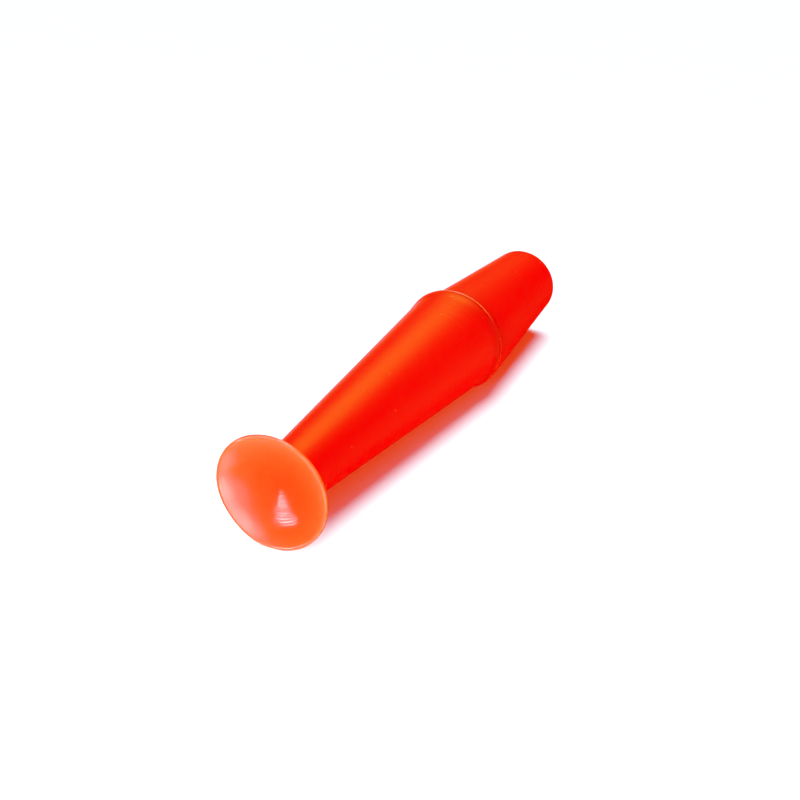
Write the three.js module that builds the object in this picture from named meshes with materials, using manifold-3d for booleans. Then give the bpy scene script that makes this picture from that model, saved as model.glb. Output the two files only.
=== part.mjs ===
// A small one-hand suction plunger of soft vinyl, of the kind that lifts off a rigid contact lens:
// a thin dished cup, a barrel that widens away from it, and a narrower blunt tail.
// Three mouldings pushed together: the cup's stem sits in the barrel's front socket and the
// tail's spigot sits in the socket behind the barrel's ridge.
//
// Millimetres. +X runs from the cup to the tail and +Z is up. The plunger lies on the plane z = 0
// with its axis level: it touches with the cup's rim and the barrel's ridge, and both are pressed
// flat where they touch. The origin is on that plane, under the middle of the length.
import * as THREE from 'three';
import { mergeVertices } from 'three/addons/utils/BufferGeometryUtils.js';
import Module from 'manifold-3d';

// Driving dimensions. A "station" is a distance behind the plane of the cup's rim.
const length = 45;
const axisHeight = 4.42;
const fitGap = 0.1;

const rimRadius = 4.5;
const lipThickness = 0.34;
const lipRound = 0.08;
const landWidth = 0.3;
const dishDepth = 1.2;
const cupBackStation = 1.9;

const stemRadius = 1.0;
const stemLength = 4.6;

const barrelStation = 2.3;
const barrelNeckRadius = 2.28;
const barrelFrontRound = 0.15;
const ridgeStation = 30;
const ridgeRadius = 4.44;
const ridgeLand = 0.7;
const ridgeRamp = 0.6;
const coneEndRadius = 4.26;

const boreFrontRadius = 1.3;
const boreRearRadius = 1.9;

const spigotRadius = 2.0;
const spigotLength = 5;

const tailRadius = 4.3;
const tailEndRadius = 3.1;
const tailEndRound = 0.5;
const tailCoreRadius = 1.0;
const tailCoreDepth = 15;

// The block under the plunger that presses its rim and ridge flat.
const groundMargin = 5;
const groundDepth = 2;

const sides = 72;
const dishSteps = 12;
const roundSteps = 4;

const wasm = await Module();
wasm.setup();

// A round stretch from one angle to another, as [station, radius] points about a centre.
function arc(station, radius, round, fromDegrees, toDegrees, steps) {
  const points = [];
  for (let i = 0; i <= steps; i += 1) {
    const angle = THREE.MathUtils.degToRad(fromDegrees + ((toDegrees - fromDegrees) * i) / steps);
    points.push([station + round * Math.cos(angle), radius + round * Math.sin(angle)]);
  }
  return points;
}

// Revolves a closed outline of [station, radius] points about the plunger's axis.
function turned(outline) {
  const points = outline.map(([station, radius]) => new THREE.Vector2(radius, station));
  const geometry = new THREE.LatheGeometry(points, sides);
  geometry.rotateZ(-Math.PI / 2);
  geometry.translate(-length / 2, 0, axisHeight);
  return geometry;
}

function toSolid(geometry) {
  const bare = geometry.clone();
  bare.deleteAttribute('normal');
  bare.deleteAttribute('uv');
  const merged = mergeVertices(bare);
  const mesh = new wasm.Mesh({
    numProp: 3,
    vertProperties: new Float32Array(merged.attributes.position.array),
    triVerts: new Uint32Array(merged.index.array),
  });
  return new wasm.Manifold(mesh);
}

function toGeometry(solid) {
  const mesh = solid.getMesh();
  const geometry = new THREE.BufferGeometry();
  geometry.setAttribute('position', new THREE.BufferAttribute(mesh.vertProperties, 3));
  geometry.setIndex(new THREE.BufferAttribute(mesh.triVerts, 1));
  geometry.computeVertexNormals();
  return geometry;
}

// The block below z = 0, reaching past the plunger on every side.
function groundBlock() {
  const block = new THREE.BoxGeometry(
    length + 2 * groundMargin,
    2 * (rimRadius + groundMargin),
    groundDepth,
  );
  block.translate(0, 0, -groundDepth / 2);
  return toSolid(block);
}

function restedOnGround(outline) {
  return toGeometry(toSolid(turned(outline)).subtract(groundBlock()));
}

function named(name, geometry, colour, roughness) {
  const material = new THREE.MeshStandardMaterial({ color: colour, roughness, metalness: 0 });
  const mesh = new THREE.Mesh(geometry, material);
  mesh.name = name;
  return mesh;
}

// The cup: a spherical dish inside a narrow flat land, a thin lip, a coned back and a short stem.
function suctionCup() {
  const dishRadius = rimRadius - lipRound - landWidth;
  const sphere = (dishRadius ** 2 + dishDepth ** 2) / (2 * dishDepth);
  const halfAngle = THREE.MathUtils.radToDeg(Math.asin(dishRadius / sphere));
  const dish = arc(dishDepth - sphere, 0, sphere, 0, halfAngle, dishSteps);
  const frontEdge = arc(lipRound, rimRadius - lipRound, lipRound, 180, 90, roundSteps);
  const backEdge = arc(lipThickness - lipRound, rimRadius - lipRound, lipRound, 90, 0, roundSteps);
  const stemStation = barrelStation - fitGap;
  const outline = [
    ...dish,
    ...frontEdge,
    ...backEdge,
    [cupBackStation, barrelNeckRadius],
    [stemStation, barrelNeckRadius],
    [stemStation, stemRadius],
    [stemStation + stemLength, stemRadius],
    [stemStation + stemLength, 0],
  ];
  return restedOnGround(outline);
}

// The barrel: an even cone with a slight bead, the ridge, at its wide end, and a bore right
// through that opens into a socket for the stem in front and one for the spigot behind.
function gripBarrel() {
  const frontEdge = arc(
    barrelStation + barrelFrontRound,
    barrelNeckRadius - barrelFrontRound,
    barrelFrontRound,
    180,
    90,
    roundSteps,
  );
  const rearSocket = ridgeStation - spigotLength - fitGap;
  const frontSocket = barrelStation + stemLength + fitGap;
  const outline = [
    [barrelStation, stemRadius + fitGap],
    ...frontEdge,
    [ridgeStation - ridgeLand - ridgeRamp, coneEndRadius],
    [ridgeStation - ridgeLand, ridgeRadius],
    [ridgeStation, ridgeRadius],
    [ridgeStation, spigotRadius + fitGap],
    [rearSocket, spigotRadius + fitGap],
    [rearSocket, boreRearRadius],
    [frontSocket, boreFrontRadius],
    [frontSocket, stemRadius + fitGap],
    [barrelStation, stemRadius + fitGap],
  ];
  return restedOnGround(outline);
}

// The tail: a blunt cone with a flat end, and a cored spigot that fills the barrel's rear socket.
function tailPlug() {
  const front = ridgeStation + fitGap;
  const spigotEnd = ridgeStation - spigotLength;
  const endRound = arc(length - tailEndRound, tailEndRadius - tailEndRound, tailEndRound, 90, 0, roundSteps);
  const outline = [
    [spigotEnd + tailCoreDepth, 0],
    [spigotEnd + tailCoreDepth, tailCoreRadius],
    [spigotEnd, tailCoreRadius],
    [spigotEnd, spigotRadius],
    [front, spigotRadius],
    [front, tailRadius],
    ...endRound,
    [length, 0],
  ];
  return restedOnGround(outline);
}

const plunger = new THREE.Group();
plunger.name = 'suction_plunger';
plunger.add(named('suction_cup', suctionCup(), 0xff6a35, 0.35));
plunger.add(named('grip_barrel', gripBarrel(), 0xf5240a, 0.45));
plunger.add(named('tail_plug', tailPlug(), 0xf5280a, 0.45));

export default plunger;
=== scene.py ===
import math

import bpy
from mathutils import Matrix, Vector


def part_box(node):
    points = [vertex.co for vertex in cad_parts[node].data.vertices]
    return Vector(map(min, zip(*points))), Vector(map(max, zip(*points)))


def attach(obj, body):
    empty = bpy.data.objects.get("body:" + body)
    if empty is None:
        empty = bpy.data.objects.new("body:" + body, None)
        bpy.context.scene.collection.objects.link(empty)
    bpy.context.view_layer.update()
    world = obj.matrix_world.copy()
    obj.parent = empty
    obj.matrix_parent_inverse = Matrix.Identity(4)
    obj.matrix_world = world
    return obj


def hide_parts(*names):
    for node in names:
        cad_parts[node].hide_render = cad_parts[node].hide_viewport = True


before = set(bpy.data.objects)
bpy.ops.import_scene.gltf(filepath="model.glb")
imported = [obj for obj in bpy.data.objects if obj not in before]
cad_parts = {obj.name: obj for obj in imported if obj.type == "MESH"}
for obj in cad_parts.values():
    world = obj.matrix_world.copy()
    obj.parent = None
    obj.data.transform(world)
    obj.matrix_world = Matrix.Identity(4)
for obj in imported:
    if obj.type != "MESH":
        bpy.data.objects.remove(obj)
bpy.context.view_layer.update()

# ---------------------------------------------------------------------------------------------
# A small soft-vinyl suction plunger lying on its side. Sizes are in millimetres. A "station" is
# a distance behind the plane of the cup's rim, and a "turn" goes round the axis in degrees, from
# straight up (0) towards +Y (90).
# ---------------------------------------------------------------------------------------------
MM = 0.001
SIDES = 256
ON_AXIS = 1e-6

cup_low, cup_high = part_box("suction_cup")
barrel_low, barrel_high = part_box("grip_barrel")
tail_low, tail_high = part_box("tail_plug")

RIM_X = cup_low.x / MM
RIM_RADIUS = (cup_high.y - cup_low.y) / 2 / MM
AXIS_HEIGHT = cup_high.z / MM - RIM_RADIUS
LENGTH = (tail_high.x - cup_low.x) / MM
BARREL_STATION = (barrel_low.x - cup_low.x) / MM
RIDGE_STATION = (barrel_high.x - cup_low.x) / MM
RIDGE_RADIUS = (barrel_high.y - barrel_low.y) / 2 / MM
TAIL_RADIUS = (tail_high.y - tail_low.y) / 2 / MM

# The cup: its lip, its dish and its back.
LIP_THICKNESS = 0.34
LIP_ROUND = 0.1
LAND_WIDTH = 0.14
DISH_DEPTH = 1.2
DISH_STEPS = 200
ROLL_HEIGHT = 0.006
ROLL_INSET = 0.22
ROLL_WIDTH = 0.1
BACK_START_DEPTH = 0.05
BACK_START_INSET = 0.12
CUP_BACK_STATION = 1.9
NECK_RADIUS = 2.28
STEM_RADIUS = 1.0
STEM_LENGTH = 4.6
FIT_GAP = 0.1

# The rim is a little out of round: a depth, a turn and a width for each flatter stretch of it,
# which fades out from the rim inwards to a radius.
RIM_HOLLOWS = ((0.11, 128, 26), (0.07, 5, 30))
HOLLOW_START = 3.2

# The turned rings in the dish, which are strongest at one turn.
RING_PITCH = 0.2
RING_HEIGHT = 0.0092
RING_UNEVEN = 0.15
RING_BEAT = 2.4
RING_START = 0.5
RING_FADE = 1.6
RING_REACH = 3.7
RING_SIDE = 222
RING_SPREAD = 50
RING_ELSEWHERE = 0.4

# The barrel, its bore, and the ridge with its thin flash, which is highest near the top.
BARREL_FRONT_ROUND = 0.1
CONE_END_RADIUS = 4.26
RIDGE_LAND = 0.5
RIDGE_RAMP = 0.6
FLASH_HEIGHT = 0.06
FLASH_WIDTH = 0.16
FLASH_TURN = 10
FLASH_SPREAD = 70
BORE_FRONT_RADIUS = 1.3
BORE_REAR_RADIUS = 1.9
SPIGOT_RADIUS = 2.0
SPIGOT_LENGTH = 5.0
FACE_INSET = 0.1

# The tail, which sits off centre in the barrel by a shift to the side and a drop.
TAIL_GAP = 0.02
TAIL_FRONT_ROUND = 0.02
TAIL_END_RADIUS = 3.1
TAIL_END_ROUND = 0.5
TAIL_CORE_RADIUS = 1.0
TAIL_CORE_DEPTH = 15.0
TAIL_SHIFT = 0.19
TAIL_END_SHIFT = 0.15
TAIL_DROP = 0.2
TAIL_END_DROP = 0.06
SPIGOT_ROOT = 1.0

# The longest step along an outline, on each kind of surface.
LAND_STEP = 0.05
RAMP_STEP = 0.1
SKIN_STEP = 0.12
BACK_STEP = 0.15
SHOULDER_STEP = 0.2
FACE_STEP = 0.3
SOCKET_STEP = 0.5
CORE_STEP = 0.6
BORE_STEP = 1.0

# Colours and roughness from the axis outwards, each at a share of the rim's radius.
# The cup's colours grow paler towards the rim: that is painted glow, standing in for light
# shining through the thin lip.
CUP_COLOURS_WITH_PAINTED_GLOW = (
    (0.0, (1, 0.062, 0.033)),
    (0.4, (1, 0.075, 0.036)),
    (0.6, (1, 0.089, 0.044)),
    (0.77, (1, 0.104, 0.049)),
    (0.91, (1, 0.125, 0.058)),
    (1.0, (1, 0.156, 0.069)),
)
BODY_COLOURS = (
    (0.0, (1, 0.0070, 0.0045)),
    (1.0, (1, 0.0085, 0.0055)),
)
CUP_ROUGHNESS = ((0.5, 0.16), (0.85, 0.19))
BODY_ROUGHNESS = ((0.0, 0.38), (1.0, 0.38))

# Plain colours.
CUP_SPECK = (0.12, 0.02, 0.01, 1)
BODY_SPECK = (1.0, 0.20, 0.12, 1)
# A painted highlight: the pale colour of the flash's upper side, where the thin flash catches the light.
FLASH_HIGHLIGHT_COLOUR = (1, 0.13, 0.12, 1)

# The flash's painted highlight starts at this height above the axis and goes upwards, and spans
# this share of its width to either side of its middle.
FLASH_HIGHLIGHT_HEIGHT = 2
FLASH_HIGHLIGHT_REACH = 0.6

# The vinyl's fine structure: scales are per metre, sizes in millimetres.
VINYL_IOR = 1.5
SPECK_SPACING = 1.6
SPECK_RADIUS = 0.07
CLOUD_SCALE = 220
CLOUD_DETAIL = 3
CLOUD_SHARE = 0.06
GRAIN_SCALE = 5000
GRAIN_DETAIL = 4
GRAIN_ROUGHNESS = 0.08
GRAIN_STRENGTH = 0.15
GRAIN_DEPTH = 0.01
MARK_SCALES = (3300, 260, 260)
MARK_DETAIL = 3
CUP_MARK_DEPTH = 0.0005
BODY_MARK_DEPTH = 0.03

# The camera, by where it sees the rim's centre: how far to the right of its axis, above it and
# ahead of it.
CAMERA_AZIMUTH = math.radians(296.87)
CAMERA_ELEVATION = math.radians(25.99)
CAMERA_LENS = 72.0
CAMERA_SENSOR = 36.0
CAMERA_CLIP = 0.01
RIM_RIGHT = -9.066
RIM_UP = -6.558
RIM_AHEAD = 111.71

# The floor and the lights, with sizes in metres, and the picture's over-exposed look.
FLOOR_HALF = 3.0
FLOOR_COLOUR = (0.82, 0.83, 0.88, 1)
FLOOR_ROUGHNESS = 0.9
SOFTBOX_DISTANCE = 0.6
OVERHEAD_STRENGTH = 4.5
OVERHEAD_SOFTNESS = math.radians(34)
OVERHEAD_ELEVATION = 73
WORLD_STRENGTH = 1.5
BLACK_LEVEL = (0.0, 0.009, 0.003)
WHITE_LEVEL = (1.4, 1, 1)
RED_CURVE = (
    (0.06, 0.40),
    (0.19, 0.70),
    (0.28, 0.78),
    (0.53, 0.80),
    (0.625, 0.89),
    (0.73, 0.95),
    (0.81, 0.98),
    (0.89, 1.0),
)
BLUE_CURVE = ((0.01, 0.003), (0.06, 0.016), (0.12, 0.105))


# ---------------------------------------------------------------------------------------------
# Outlines and revolved meshes
# ---------------------------------------------------------------------------------------------
def arc(station, radius, size, start, end, steps):
    """Points on a round of that size about (station, radius), from one angle in degrees to another."""
    points = []
    for i in range(steps + 1):
        angle = math.radians(start + (end - start) * i / steps)
        points.append((station + size * math.cos(angle), radius + size * math.sin(angle)))
    return points


def line(start, end, step):
    """Points from start up to, but without, end, no further apart than step."""
    count = max(1, math.ceil(math.dist(start, end) / step))
    return [
        (start[0] + (end[0] - start[0]) * i / count, start[1] + (end[1] - start[1]) * i / count)
        for i in range(count)
    ]


def smooth(value, low, high):
    """0 below low, 1 above high, and an even S between them."""
    t = min(1.0, max(0.0, (value - low) / (high - low)))
    return t * t * (3 - 2 * t)


def bell(value, middle, width):
    return math.exp(-(((value - middle) / width) ** 2))


def bell_round(turn, middle, width):
    """A bell round the axis, for a middle between 0 and 360 degrees."""
    return bell(turn, middle, width) + bell(turn, middle + 360, width)


def revolve(name, outline, shape):
    """A closed mesh: the outline of (station, radius) points goes round the axis, and shape() then
    moves each point. The outline either starts and ends on the axis or closes on itself."""
    starts_on_axis = outline[0][1] < ON_AXIS
    vertices = []
    rings = []
    for station, radius in outline:
        if radius < ON_AXIS:
            rings.append([len(vertices)] * SIDES)
            vertices.append(shape(station, 0.0, 0.0))
            continue
        rings.append(list(range(len(vertices), len(vertices) + SIDES)))
        for side in range(SIDES):
            vertices.append(shape(station, radius, 360 * side / SIDES))
    if not starts_on_axis:
        rings.append(rings[0])
    faces = []
    for ring, following in zip(rings, rings[1:]):
        for side in range(SIDES):
            beyond = (side + 1) % SIDES
            corners = [ring[side], ring[beyond], following[beyond], following[side]]
            faces.append(list(dict.fromkeys(corners)))
    mesh = bpy.data.meshes.new(name)
    mesh.from_pydata([Vector(v) * MM for v in vertices], [], faces)
    mesh.polygons.foreach_set("use_smooth", [True] * len(mesh.polygons))
    mesh.update()
    obj = bpy.data.objects.new(name, mesh)
    bpy.context.scene.collection.objects.link(obj)
    return obj


def place(station, radius, turn, side_shift=0.0, drop=0.0):
    """The point in the part's own frame, pressed flat where it would go below the ground."""
    angle = math.radians(turn)
    y = radius * math.sin(angle) + side_shift
    z = AXIS_HEIGHT + radius * math.cos(angle) - drop
    return (RIM_X + station, y, max(0.0, z))


# ---------------------------------------------------------------------------------------------
# The cup
# ---------------------------------------------------------------------------------------------
def dish_edge():
    return RIM_RADIUS - LIP_ROUND - LAND_WIDTH


def dish_depth(radius):
    """How far the dish's plain sphere lies behind the rim's plane."""
    sphere = (dish_edge() ** 2 + DISH_DEPTH**2) / (2 * DISH_DEPTH)
    return math.sqrt(sphere**2 - radius**2) - (sphere - DISH_DEPTH)


def ring_wave(radius):
    """The fine turned rings in the dish. They differ a little in height, and fade out both ways."""
    fade = smooth(radius, 0.0, RING_START) * (1 - smooth(radius, RING_FADE, RING_REACH))
    uneven = 1 - RING_UNEVEN + RING_UNEVEN * math.sin(RING_BEAT * math.floor(radius / RING_PITCH))
    return RING_HEIGHT * fade * uneven * math.sin(2 * math.pi * radius / RING_PITCH)


def dish_outline():
    """The dish from its centre outwards, with a low roll just inside the lip."""
    points = []
    for i in range(DISH_STEPS + 1):
        radius = dish_edge() * i / DISH_STEPS
        roll = ROLL_HEIGHT * bell(radius, dish_edge() - ROLL_INSET, ROLL_WIDTH)
        points.append((dish_depth(radius) - roll, radius))
    return points


def make_cup():
    edge_radius = RIM_RADIUS - LIP_ROUND
    back_start = (LIP_THICKNESS + BACK_START_DEPTH, edge_radius - BACK_START_INSET)
    stem_station = BARREL_STATION - FIT_GAP
    stem_end = stem_station + STEM_LENGTH
    outline = dish_outline()
    outline += arc(LIP_ROUND, edge_radius, LIP_ROUND, 180, 90, steps=6)
    outline += arc(LIP_THICKNESS - LIP_ROUND, edge_radius, LIP_ROUND, 90, 0, steps=6)
    outline += line(back_start, (CUP_BACK_STATION, NECK_RADIUS), BACK_STEP)
    outline += line((CUP_BACK_STATION, NECK_RADIUS), (stem_station, NECK_RADIUS), BACK_STEP)
    outline += line((stem_station, NECK_RADIUS), (stem_station, STEM_RADIUS), FACE_STEP)
    outline += line((stem_station, STEM_RADIUS), (stem_end, STEM_RADIUS), SOCKET_STEP)
    outline += line((stem_end, STEM_RADIUS), (stem_end, 0), FACE_STEP)
    outline.append((stem_end, 0.0))

    def shape(station, radius, turn):
        in_dish = radius < RING_REACH and station < dish_depth(radius) + ROLL_HEIGHT
        if in_dish:
            share = RING_ELSEWHERE + (1 - RING_ELSEWHERE) * bell_round(turn, RING_SIDE, RING_SPREAD)
            station += share * ring_wave(radius)
        hollow = sum(depth * bell_round(turn, middle, width) for depth, middle, width in RIM_HOLLOWS)
        return place(station, radius - hollow * smooth(radius, HOLLOW_START, RIM_RADIUS), turn)

    return revolve("cup", outline, shape)


# ---------------------------------------------------------------------------------------------
# The barrel
# ---------------------------------------------------------------------------------------------
def make_barrel():
    socket = STEM_RADIUS + FIT_GAP
    spigot_socket = SPIGOT_RADIUS + FIT_GAP
    front_socket = BARREL_STATION + STEM_LENGTH + FIT_GAP
    rear_socket = RIDGE_STATION - SPIGOT_LENGTH - FIT_GAP
    front_radius = NECK_RADIUS - BARREL_FRONT_ROUND
    skin_start = BARREL_STATION + 2 * BARREL_FRONT_ROUND
    ramp_start = RIDGE_STATION - RIDGE_LAND - RIDGE_RAMP
    land_start = RIDGE_STATION - RIDGE_LAND
    land_radius = RIDGE_RADIUS - FLASH_HEIGHT
    flash_start = RIDGE_STATION - FLASH_WIDTH
    flash_middle = RIDGE_STATION - FLASH_WIDTH / 2
    outline = line((BARREL_STATION, socket), (BARREL_STATION, front_radius), SHOULDER_STEP)
    outline += arc(BARREL_STATION + BARREL_FRONT_ROUND, front_radius, BARREL_FRONT_ROUND, 180, 90, steps=4)
    outline += line((skin_start, NECK_RADIUS), (ramp_start, CONE_END_RADIUS), SKIN_STEP)
    outline += line((ramp_start, CONE_END_RADIUS), (land_start, land_radius), RAMP_STEP)
    outline += line((land_start, land_radius), (flash_start, land_radius), LAND_STEP)
    outline += arc(flash_middle, land_radius, FLASH_HEIGHT, 180, 0, steps=8)
    outline += line((RIDGE_STATION, land_radius - FACE_INSET), (RIDGE_STATION, spigot_socket), FACE_STEP)
    outline += line((RIDGE_STATION, spigot_socket), (rear_socket, spigot_socket), SOCKET_STEP)
    outline += line((rear_socket, spigot_socket), (rear_socket, BORE_REAR_RADIUS), SHOULDER_STEP)
    outline += line((rear_socket, BORE_REAR_RADIUS), (front_socket, BORE_FRONT_RADIUS), BORE_STEP)
    outline += line((front_socket, BORE_FRONT_RADIUS), (front_socket, socket), SHOULDER_STEP)
    outline += line((front_socket, socket), (BARREL_STATION, socket), SOCKET_STEP)

    def shape(station, radius, turn):
        if station > flash_start and radius > land_radius:
            kept = bell_round(turn, FLASH_TURN, FLASH_SPREAD)
            radius -= (radius - land_radius) * (1 - kept)
        return place(station, radius, turn)

    return revolve("barrel", outline, shape)


# ---------------------------------------------------------------------------------------------
# The tail
# ---------------------------------------------------------------------------------------------
def make_tail():
    front = RIDGE_STATION + TAIL_GAP
    front_radius = TAIL_RADIUS - TAIL_FRONT_ROUND
    skin_start = front + 2 * TAIL_FRONT_ROUND
    spigot_end = RIDGE_STATION - SPIGOT_LENGTH
    core_end = spigot_end + TAIL_CORE_DEPTH
    round_station = LENGTH - TAIL_END_ROUND
    round_radius = TAIL_END_RADIUS - TAIL_END_ROUND
    outline = line((core_end, 0), (core_end, TAIL_CORE_RADIUS), FACE_STEP)
    outline += line((core_end, TAIL_CORE_RADIUS), (spigot_end, TAIL_CORE_RADIUS), CORE_STEP)
    outline += line((spigot_end, TAIL_CORE_RADIUS), (spigot_end, SPIGOT_RADIUS), FACE_STEP)
    outline += line((spigot_end, SPIGOT_RADIUS), (front, SPIGOT_RADIUS), SOCKET_STEP)
    outline += line((front, SPIGOT_RADIUS), (front, front_radius), FACE_STEP)
    outline += arc(front + TAIL_FRONT_ROUND, front_radius, TAIL_FRONT_ROUND, 180, 90, steps=3)
    outline += line((skin_start, TAIL_RADIUS), (round_station, TAIL_END_RADIUS), SKIN_STEP)
    outline += arc(round_station, round_radius, TAIL_END_ROUND, 90, 0, steps=10)
    outline += line((LENGTH, round_radius - FACE_INSET), (LENGTH, 0), FACE_STEP)
    outline.append((LENGTH, 0.0))

    def shape(station, radius, turn):
        if radius <= SPIGOT_RADIUS and station < RIDGE_STATION + SPIGOT_ROOT:
            return place(station, radius, turn)
        reach = (station - RIDGE_STATION) / (LENGTH - RIDGE_STATION)
        shift = TAIL_SHIFT + (TAIL_END_SHIFT - TAIL_SHIFT) * reach
        drop = TAIL_DROP + (TAIL_END_DROP - TAIL_DROP) * reach
        return place(station, radius, turn, -shift, drop)

    return revolve("tail", outline, shape)


# ---------------------------------------------------------------------------------------------
# Soft vinyl
# ---------------------------------------------------------------------------------------------
def calculate(tree, operation, *values):
    """The output of a Math node whose inputs are numbers or other nodes' outputs."""
    node = tree.nodes.new("ShaderNodeMath")
    node.operation = operation
    for socket, value in zip(node.inputs, values):
        if isinstance(value, (int, float)):
            socket.default_value = value
        else:
            tree.links.new(value, socket)
    return node.outputs["Value"]


def noise(tree, position, scale, detail):
    node = tree.nodes.new("ShaderNodeTexNoise")
    node.inputs["Scale"].default_value = scale
    node.inputs["Detail"].default_value = detail
    tree.links.new(position, node.inputs["Vector"])
    return node.outputs["Fac"]


def rescale(tree, value, low, high, new_low=0.0, new_high=1.0):
    """The value carried from low..high to new_low..new_high, and held at both ends."""
    node = tree.nodes.new("ShaderNodeMapRange")
    node.inputs["From Min"].default_value = low
    node.inputs["From Max"].default_value = high
    node.inputs["To Min"].default_value = new_low
    node.inputs["To Max"].default_value = new_high
    tree.links.new(value, node.inputs["Value"])
    return node.outputs["Result"]


def paint_over(tree, share, under, over):
    """The colour under, changed to the plain colour over where the share is 1."""
    node = tree.nodes.new("ShaderNodeMix")
    node.data_type = "RGBA"
    # A colour Mix node has its share at 0, its two colours at 6 and 7, and its result at 2.
    node.inputs[7].default_value = over
    tree.links.new(share, node.inputs[0])
    tree.links.new(under, node.inputs[6])
    return node.outputs[2]


def bump(tree, height, strength, depth):
    node = tree.nodes.new("ShaderNodeBump")
    node.inputs["Strength"].default_value = strength
    node.inputs["Distance"].default_value = depth * MM
    tree.links.new(height, node.inputs["Height"])
    return node


def share_of_rim(tree, position):
    """The distance from the axis as a share of the rim's radius."""
    from_axis = tree.nodes.new("ShaderNodeVectorMath")
    from_axis.operation = "MULTIPLY_ADD"
    from_axis.inputs[1].default_value = (0, 1 / (RIM_RADIUS * MM), 1 / (RIM_RADIUS * MM))
    from_axis.inputs[2].default_value = (0, 0, -AXIS_HEIGHT / RIM_RADIUS)
    tree.links.new(position, from_axis.inputs[0])
    distance = tree.nodes.new("ShaderNodeVectorMath")
    distance.operation = "LENGTH"
    tree.links.new(from_axis.outputs["Vector"], distance.inputs[0])
    return distance.outputs["Value"]


def clouded_colour(tree, position, share, colours):
    """The colours from the axis outwards, with a soft, cloudy edge between them."""
    cloud = noise(tree, position, CLOUD_SCALE, CLOUD_DETAIL)
    clouded = calculate(tree, "MULTIPLY_ADD", cloud, CLOUD_SHARE, share)
    ramp = tree.nodes.new("ShaderNodeValToRGB")
    stops = ramp.color_ramp.elements
    for index, (at, colour) in enumerate(colours):
        stop = stops[index] if index < 2 else stops.new(at)
        stop.position = at
        stop.color = (*colour, 1)
    tree.links.new(clouded, ramp.inputs["Fac"])
    return ramp.outputs["Color"]


def paint_flash_highlight(tree, position, colour):
    """Paints a pale highlight on the upper side of the thin flash at the seam, where it catches the light.
    """
    axes = tree.nodes.new("ShaderNodeSeparateXYZ")
    tree.links.new(position, axes.inputs["Vector"])
    seam = (RIM_X + RIDGE_STATION - FLASH_WIDTH / 2) * MM
    at_seam = calculate(tree, "COMPARE", axes.outputs["X"], seam, FLASH_HIGHLIGHT_REACH * FLASH_WIDTH * MM)
    highlight_from = (AXIS_HEIGHT + FLASH_HIGHLIGHT_HEIGHT) * MM
    upper = rescale(tree, axes.outputs["Z"], highlight_from, (AXIS_HEIGHT + RIDGE_RADIUS) * MM)
    return paint_over(tree, calculate(tree, "MULTIPLY", at_seam, upper), colour, FLASH_HIGHLIGHT_COLOUR)


def specked(tree, position, colour, speck):
    """Small round specks, one in the middle of each cell, that show where they meet the surface."""
    cells = tree.nodes.new("ShaderNodeTexVoronoi")
    cells.inputs["Scale"].default_value = 1 / (SPECK_SPACING * MM)
    tree.links.new(position, cells.inputs["Vector"])
    near = calculate(tree, "LESS_THAN", cells.outputs["Distance"], SPECK_RADIUS / SPECK_SPACING)
    return paint_over(tree, near, colour, speck)


def turning_marks(tree, position):
    """Fine marks that run round the axis."""
    stretched = tree.nodes.new("ShaderNodeMapping")
    stretched.inputs["Scale"].default_value = MARK_SCALES
    tree.links.new(position, stretched.inputs["Vector"])
    return noise(tree, stretched.outputs["Vector"], 1, MARK_DETAIL)


def vinyl(name, colours, roughness, speck, mark_depth, spread, specular, tint):
    """Soft vinyl. Colours and roughness are (share of the rim's radius, value) stops outwards from
    the axis, and spread is how far red, green and blue light travel inside it."""
    material = bpy.data.materials.new(name)
    material.use_nodes = True
    tree = material.node_tree
    shader = tree.nodes["Principled BSDF"]
    shader.inputs["Subsurface Weight"].default_value = 1.0
    shader.inputs["Subsurface Radius"].default_value = spread
    shader.inputs["Subsurface Scale"].default_value = MM
    shader.inputs["Specular IOR Level"].default_value = specular
    shader.inputs["Specular Tint"].default_value = tint
    shader.inputs["IOR"].default_value = VINYL_IOR

    position = tree.nodes.new("ShaderNodeTexCoord").outputs["Object"]
    share = share_of_rim(tree, position)
    colour = clouded_colour(tree, position, share, colours)
    # Paints a highlight on the upper side of the seam's flash.
    colour = paint_flash_highlight(tree, position, colour)
    colour = specked(tree, position, colour, speck)
    tree.links.new(colour, shader.inputs["Base Color"])

    grain = noise(tree, position, GRAIN_SCALE, GRAIN_DETAIL)
    (inner, inner_value), (outer, outer_value) = roughness
    gloss = rescale(tree, share, inner, outer, inner_value, outer_value)
    rough = calculate(tree, "MULTIPLY_ADD", grain, GRAIN_ROUGHNESS, gloss)
    tree.links.new(rough, shader.inputs["Roughness"])

    grained = bump(tree, grain, GRAIN_STRENGTH, GRAIN_DEPTH)
    marked = bump(tree, turning_marks(tree, position), 1, mark_depth)
    tree.links.new(grained.outputs["Normal"], marked.inputs["Normal"])
    tree.links.new(marked.outputs["Normal"], shader.inputs["Normal"])
    return material


cup = make_cup()
barrel = make_barrel()
tail = make_tail()

# The cup's colours carry painted glow: paler towards the rim, for light shining through the thin lip.
cup_vinyl = vinyl(
    "cup vinyl",
    CUP_COLOURS_WITH_PAINTED_GLOW,
    CUP_ROUGHNESS,
    CUP_SPECK,
    CUP_MARK_DEPTH,
    spread=(1.6, 0.5, 0.2),
    specular=0.7,
    tint=(1, 0.95, 0.95, 1),
)
body_vinyl = vinyl(
    "body vinyl",
    BODY_COLOURS,
    BODY_ROUGHNESS,
    BODY_SPECK,
    BODY_MARK_DEPTH,
    spread=(4.0, 0.4, 0.25),
    specular=0.35,
    tint=(1, 0.75, 0.0, 1),
)
for piece, node, material, slot in (
    (cup, "suction_cup", cup_vinyl, "cup_vinyl"),
    (barrel, "grip_barrel", body_vinyl, "barrel_vinyl"),
    (tail, "tail_plug", body_vinyl, "tail_vinyl"),
):
    piece.data.materials.append(material)
    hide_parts(node)
    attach(piece, "root")

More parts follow.
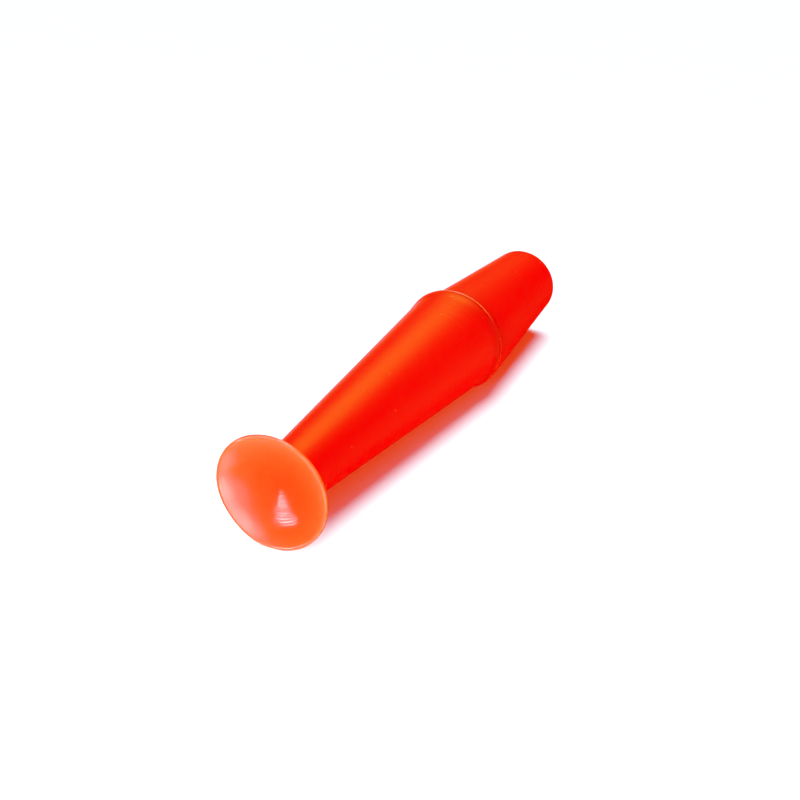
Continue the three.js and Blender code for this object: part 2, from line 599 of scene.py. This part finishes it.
# ---------------------------------------------------------------------------------------------
# Floor and camera
# ---------------------------------------------------------------------------------------------
floor_mesh = bpy.data.meshes.new("floor")
corners = [(x * FLOOR_HALF, y * FLOOR_HALF, 0) for x, y in ((-1, -1), (1, -1), (1, 1), (-1, 1))]
floor_mesh.from_pydata(corners, [], [(0, 1, 2, 3)])
floor = bpy.data.objects.new("floor", floor_mesh)
bpy.context.scene.collection.objects.link(floor)
floor_paint = bpy.data.materials.new("floor paint")
floor_paint.use_nodes = True
floor_shader = floor_paint.node_tree.nodes["Principled BSDF"]
floor_shader.inputs["Base Color"].default_value = FLOOR_COLOUR
floor_shader.inputs["Roughness"].default_value = FLOOR_ROUGHNESS
floor_shader.inputs["Specular IOR Level"].default_value = 0.0
floor_mesh.materials.append(floor_paint)
floor.visible_glossy = False
floor.visible_shadow = False

back = Vector((
    math.sin(CAMERA_AZIMUTH) * math.cos(CAMERA_ELEVATION),
    -math.cos(CAMERA_AZIMUTH) * math.cos(CAMERA_ELEVATION),
    math.sin(CAMERA_ELEVATION),
))
right = Vector((0, 0, 1)).cross(back).normalized()
up = back.cross(right)
rim_centre = Vector((RIM_X, 0, AXIS_HEIGHT))
eye = rim_centre - right * RIM_RIGHT - up * RIM_UP + back * RIM_AHEAD

camera_data = bpy.data.cameras.new("camera")
camera_data.lens = CAMERA_LENS
camera_data.sensor_width = CAMERA_SENSOR
camera_data.clip_start = CAMERA_CLIP
camera = bpy.data.objects.new("camera", camera_data)
camera.matrix_world = Matrix.Translation(eye * MM) @ Matrix((right, up, back)).transposed().to_4x4()
bpy.context.scene.collection.objects.link(camera)
bpy.context.scene.camera = camera


# ---------------------------------------------------------------------------------------------
# Lights. The thin cup lets nearly all light through, so it throws no shadow, and the low lights
# behind it shine on the barrel and the tail only.
# ---------------------------------------------------------------------------------------------
def group(name, *members):
    collection = bpy.data.collections.new(name)
    for member in members:
        collection.objects.link(member)
    return collection


body_only = group("body only", barrel, tail)
plunger = group("plunger", cup, barrel, tail)
floor_only = group("floor only", floor)


def direction_to(azimuth, elevation):
    """The direction at an azimuth, from +X towards +Y, and an elevation, in degrees."""
    flat = math.cos(math.radians(elevation))
    return Vector((
        math.cos(math.radians(azimuth)) * flat,
        math.sin(math.radians(azimuth)) * flat,
        math.sin(math.radians(elevation)),
    ))


def hang(data, direction, distance, lit):
    """Puts a light in that direction from the plunger. It lights only the group given, or
    everything."""
    lamp = bpy.data.objects.new(data.name, data)
    lamp.location = Vector((0, 0, AXIS_HEIGHT * MM)) + direction * distance
    lamp.rotation_mode = "QUATERNION"
    lamp.rotation_quaternion = (-direction).to_track_quat("-Z", "Y")
    lamp.light_linking.blocker_collection = body_only
    if lit:
        lamp.light_linking.receiver_collection = lit
    bpy.context.scene.collection.objects.link(lamp)


def softbox(name, azimuth, elevation, width, height, power, lit=None):
    data = bpy.data.lights.new(name, "AREA")
    data.shape = "ELLIPSE"
    data.size = width
    data.size_y = height
    data.energy = power
    hang(data, direction_to(azimuth, elevation), SOFTBOX_DISTANCE, lit)


# The floor's own light is far away, so the floor stays evenly white out to the horizon.
overhead = bpy.data.lights.new("overhead", "SUN")
overhead.energy = OVERHEAD_STRENGTH
overhead.angle = OVERHEAD_SOFTNESS
hang(overhead, direction_to(0, OVERHEAD_ELEVATION), 0, floor_only)

softbox("top", 0, 70, 0.35, 0.35, 2.8, plunger)
softbox("top back", 25, 45, 0.35, 0.25, 0.6, plunger)
softbox("back", 80, 54, 0.35, 0.35, 1.0, plunger)
softbox("edge", 36, -12, 0.5, 0.2, 0.36, body_only)
softbox("low side", 324, -14, 0.25, 0.4, 0.08, body_only)
softbox("front", 180, 28, 0.35, 0.45, 0.55)
softbox("sheen", 205, -4, 0.55, 0.65, 1.1)
softbox("sheen left", 217, -14, 0.36, 0.4, 1.2)
softbox("sheen low", 198, 20, 0.42, 0.4, 0.95)
softbox("floor glow", 215, -52, 0.35, 0.35, 0.7)
softbox("strip", 147, -8, 0.15, 0.05, 0.55)

# Only the camera sees the world. It is the white behind the floor's far edge.
world = bpy.data.worlds.new("studio")
world.use_nodes = True
world.node_tree.nodes["Background"].inputs["Color"].default_value = (1, 1, 1, 1)
world.node_tree.nodes["Background"].inputs["Strength"].default_value = WORLD_STRENGTH
world.cycles_visibility.diffuse = False
world.cycles_visibility.glossy = False
world.cycles_visibility.transmission = False
world.cycles_visibility.scatter = False
bpy.context.scene.world = world

view = bpy.context.scene.view_settings
view.view_transform = "Standard"
view.use_curve_mapping = True
view.curve_mapping.black_level = BLACK_LEVEL
view.curve_mapping.white_level = WHITE_LEVEL
view.curve_mapping.extend = "HORIZONTAL"
red_curve = view.curve_mapping.curves[0]
blue_curve = view.curve_mapping.curves[2]
for curve, points in ((red_curve, RED_CURVE), (blue_curve, BLUE_CURVE)):
    for at, value in points:
        curve.points.new(at, value)
view.curve_mapping.update()
